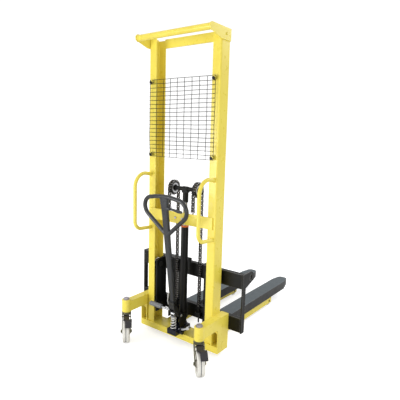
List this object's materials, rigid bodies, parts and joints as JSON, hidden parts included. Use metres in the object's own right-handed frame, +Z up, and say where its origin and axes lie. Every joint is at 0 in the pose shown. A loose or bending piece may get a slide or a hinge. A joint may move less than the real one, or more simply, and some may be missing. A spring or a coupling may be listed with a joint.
{
  "type": "manual hydraulic hand stacker",
  "caption": "Manual mast stacker: channel uprights, chain-lifted fork carriage, hand pump with loop handle, mesh guard, swivel casters with brakes and load wheels in the legs.",
  "frame": {"origin": "on the ground, under the middle of the bounding box (between the mast and the fork tips)", "axes": "+X to the right seen from behind, +Y forward along the forks, +Z up along the mast"},
  "size_m": [0.862, 1.6016, 2.015],
  "materials": {
    "yellow_paint": "satin",
    "black_paint": "satin",
    "grey_paint": "satin",
    "steel": "satin",
    "nylon": "matte",
    "orange_seal": "satin",
    "rubber": "matte",
    "dark_steel": "satin"
  },
  "bodies": {
    "frame": {"mast_upright_left": "yellow_paint", "mast_upright_right": "yellow_paint", "head_plates": "yellow_paint", "head_tube": "yellow_paint", "head_bar": "yellow_paint", "mesh_guard": "black_paint", "frame_bolts": "steel", "grab_handle_left": "yellow_paint", "grab_handle_right": "yellow_paint", "mid_crossbeam": "yellow_paint", "rear_chain_anchors": "steel", "base_crossmember": "yellow_paint", "outrigger_left": "yellow_paint", "outrigger_right": "yellow_paint", "caster_bosses": "yellow_paint", "leg_left": "yellow_paint", "leg_right": "yellow_paint", "load_wheel_axles": "steel", "cylinder_tube": "black_paint", "cylinder_ring": "orange_seal", "pump_block": "black_paint", "pump_bracket": "black_paint", "rocker_pin": "steel"},
    "piston_head": {"piston_rod": "steel", "sprocket_yoke": "black_paint", "sprocket_axle": "steel", "chain_left": "dark_steel", "chain_right": "dark_steel"},
    "sprocket_l": {"sprocket_left": "dark_steel"},
    "sprocket_r": {"sprocket_right": "dark_steel"},
    "carriage": {"carriage_upper_plate": "black_paint", "carriage_lower_plate": "black_paint", "carriage_end_left": "black_paint", "carriage_end_right": "black_paint", "roller_plates": "black_paint", "roller_stubs": "steel", "front_chain_anchors": "steel", "fork_left": "black_paint", "fork_right": "black_paint"},
    "roller_upper_left": {"mast_roller_upper_left": "dark_steel"},
    "roller_upper_right": {"mast_roller_upper_right": "dark_steel"},
    "roller_lower_left": {"mast_roller_lower_left": "dark_steel"},
    "roller_lower_right": {"mast_roller_lower_right": "dark_steel"},
    "caster_left": {"caster_fork_left": "dark_steel"},
    "caster_wheel_left": {"caster_wheel_left": "nylon"},
    "caster_brake_left": {"caster_brake_left": "dark_steel"},
    "load_wheel_left": {"load_wheel_left": "nylon"},
    "caster_right": {"caster_fork_right": "dark_steel"},
    "caster_wheel_right": {"caster_wheel_right": "nylon"},
    "caster_brake_right": {"caster_brake_right": "dark_steel"},
    "load_wheel_right": {"load_wheel_right": "nylon"},
    "handle": {"drawbar": "grey_paint", "rocker": "grey_paint", "foot_pedal": "rubber", "release_cable": "nylon"},
    "rocker_roller": {"rocker_roller": "steel"},
    "finger_lever": {"finger_lever": "grey_paint"},
    "plunger": {"plunger": "steel", "plunger_spring": "nylon"},
    "release_lever": {"release_lever": "steel"}
  },
  "joints": [
    {"name": "carriage_lift", "type": "slide", "parent": "frame", "child": "carriage", "axis": [0, 0, 1], "range_m": [-0.055, 1.385]},
    {"name": "piston_lift", "type": "slide", "parent": "frame", "child": "piston_head", "axis": [0, 0, 1], "range_m": [-0.0276, 0.6926], "deforming": ["chain_left", "chain_right"]},
    {"name": "sprocket_turn_left", "type": "hinge", "parent": "piston_head", "child": "sprocket_l", "pos_m": [-0.099, -0.46319, 1.052], "axis": [1, 0, 0], "range_deg": [-36, 870]},
    {"name": "sprocket_turn_right", "type": "hinge", "parent": "piston_head", "child": "sprocket_r", "pos_m": [0.099, -0.46319, 1.052], "axis": [1, 0, 0], "range_deg": [-36, 870]},
    {"name": "roller_turn_upper_left", "type": "hinge", "parent": "carriage", "child": "roller_upper_left", "pos_m": [-0.247, -0.4707, 0.5], "axis": [1, 0, 0], "range_deg": [-1981, 81]},
    {"name": "roller_turn_upper_right", "type": "hinge", "parent": "carriage", "child": "roller_upper_right", "pos_m": [0.247, -0.4707, 0.5], "axis": [1, 0, 0], "range_deg": [-1981, 81]},
    {"name": "roller_turn_lower_left", "type": "hinge", "parent": "carriage", "child": "roller_lower_left", "pos_m": [-0.247, -0.4707, 0.205], "axis": [1, 0, 0], "range_deg": [-81, 1981]},
    {"name": "roller_turn_lower_right", "type": "hinge", "parent": "carriage", "child": "roller_lower_right", "pos_m": [0.247, -0.4707, 0.205], "axis": [1, 0, 0], "range_deg": [-81, 1981]},
    {"name": "caster_swivel_left", "type": "hinge", "parent": "frame", "child": "caster_left", "pos_m": [-0.3115, -0.6947, 0.196], "axis": [0, 0, 1], "continuous": true},
    {"name": "caster_roll_left", "type": "hinge", "parent": "caster_left", "child": "caster_wheel_left", "pos_m": [-0.27261, -0.73359, 0.075], "axis": [0.7071, 0.7071, 0], "continuous": true},
    {"name": "brake_press_left", "type": "hinge", "parent": "caster_left", "child": "caster_brake_left", "pos_m": [-0.29029, -0.71591, 0.168], "axis": [0.7071, 0.7071, 0], "range_deg": [0, 5]},
    {"name": "load_roll_left", "type": "hinge", "parent": "frame", "child": "load_wheel_left", "pos_m": [-0.172, 0.4488, 0.037], "axis": [1, 0, 0], "continuous": true},
    {"name": "caster_swivel_right", "type": "hinge", "parent": "frame", "child": "caster_right", "pos_m": [0.3115, -0.6947, 0.196], "axis": [0, 0, 1], "continuous": true},
    {"name": "caster_roll_right", "type": "hinge", "parent": "caster_right", "child": "caster_wheel_right", "pos_m": [0.35039, -0.73359, 0.075], "axis": [0.7071, 0.7071, 0], "continuous": true},
    {"name": "brake_press_right", "type": "hinge", "parent": "caster_right", "child": "caster_brake_right", "pos_m": [0.33271, -0.71591, 0.168], "axis": [0.7071, 0.7071, 0], "range_deg": [0, 5]},
    {"name": "load_roll_right", "type": "hinge", "parent": "frame", "child": "load_wheel_right", "pos_m": [0.172, 0.4488, 0.037], "axis": [1, 0, 0], "continuous": true},
    {"name": "handle_pump", "type": "hinge", "parent": "frame", "child": "handle", "pos_m": [0, -0.52151, 0.20286], "axis": [1, 0, 0], "range_deg": [0, 50], "stiffness_Nm_per_rad": 45, "springref_deg": -28.65},
    {"name": "plunger_stroke", "type": "slide", "parent": "frame", "child": "plunger", "axis": [0, 0, 1], "range_m": [-0.03928, 0], "deforming": ["plunger_spring"]},
    {"name": "roller_spin", "type": "hinge", "parent": "handle", "child": "rocker_roller", "pos_m": [0, -0.5632, 0.2223], "axis": [1, 0, 0], "continuous": true},
    {"name": "finger_pull", "type": "hinge", "parent": "handle", "child": "finger_lever", "pos_m": [0.035, -0.66401, 0.94842], "axis": [0, -0.9907, -0.1357], "range_deg": [0, 10], "stiffness_Nm_per_rad": 0.6, "springref_deg": -28.65},
    {"name": "release_press", "type": "hinge", "parent": "frame", "child": "release_lever", "pos_m": [0.052, -0.5412, 0.118], "axis": [0, 1, 0], "range_deg": [0, 10], "stiffness_Nm_per_rad": 1.5, "springref_deg": -28.65}
  ],
  "couplings": [
    {"joint": "piston_lift", "follows": "carriage_lift", "ratio": 0.5},
    {"joint": "sprocket_turn_left", "follows": "carriage_lift", "rad_per_m": 10.938},
    {"joint": "sprocket_turn_right", "follows": "carriage_lift", "rad_per_m": 10.938},
    {"joint": "roller_turn_upper_left", "follows": "carriage_lift", "rad_per_m": -24.938},
    {"joint": "roller_turn_upper_right", "follows": "carriage_lift", "rad_per_m": -24.938},
    {"joint": "roller_turn_lower_left", "follows": "carriage_lift", "rad_per_m": 24.938},
    {"joint": "roller_turn_lower_right", "follows": "carriage_lift", "rad_per_m": 24.938},
    {"joint": "plunger_stroke", "follows": "handle_pump", "m_per_rad": -0.044554}
  ]
}
